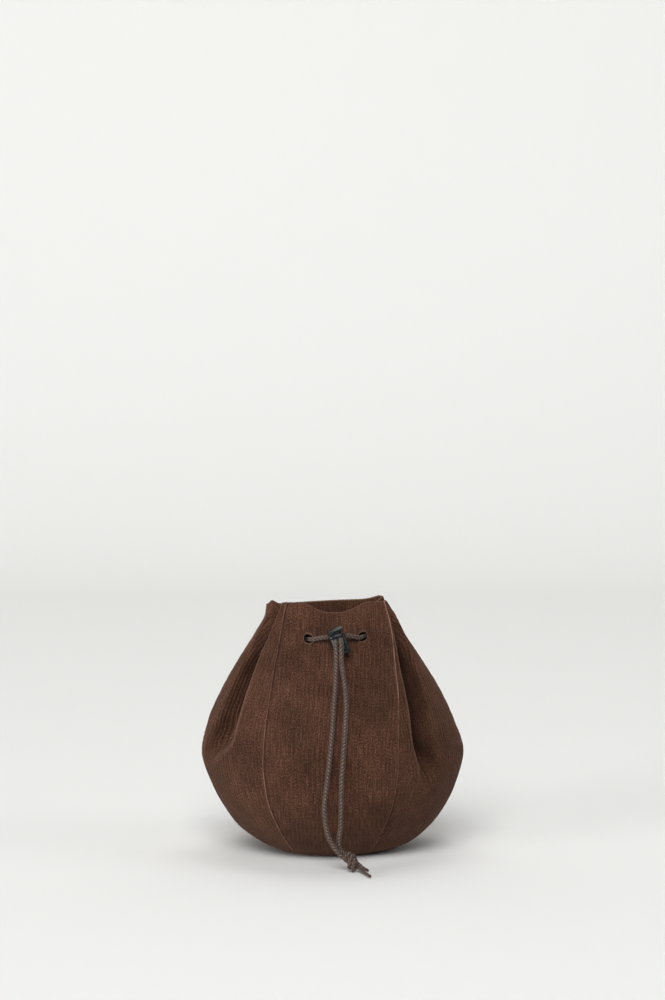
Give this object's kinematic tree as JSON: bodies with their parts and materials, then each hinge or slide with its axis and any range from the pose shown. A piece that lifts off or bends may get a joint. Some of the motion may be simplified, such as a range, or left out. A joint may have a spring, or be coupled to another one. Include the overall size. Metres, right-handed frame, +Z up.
{
  "type": "drawstring pouch",
  "caption": "Round-bellied suede drawstring pouch of sewn gores, gathered at the mouth by a braided cord with a spring cord lock and knotted tails.",
  "frame": {"origin": "middle of the base, on the surface the pouch stands on", "axes": "+Z up through the mouth, -Y towards the front gore with the cord lock, +X to the viewer's right"},
  "size_m": [0.199, 0.2163, 0.1905],
  "materials": {
    "suede": "ribbed brown suede, matte",
    "cord": "braided taupe cord",
    "plastic": "dark satin plastic"
  },
  "bodies": {
    "pouch": {"panel_front": "suede", "panel_front_left": "suede", "panel_front_right": "suede", "panel_back": "suede", "panel_back_left": "suede", "panel_back_right": "suede", "cord_loop": "cord", "cord_tail_left": "cord", "cord_tail_right": "cord", "cord_knot": "cord", "lock_barrel": "plastic"},
    "lock_button": {"lock_button": "plastic"}
  },
  "joints": [
    {"name": "button_press", "type": "slide", "parent": "pouch", "child": "lock_button", "axis": [0.3345, -0.2079, -0.9192], "range_m": [0, 0.002], "stiffness_N_per_m": 600}
  ]
}
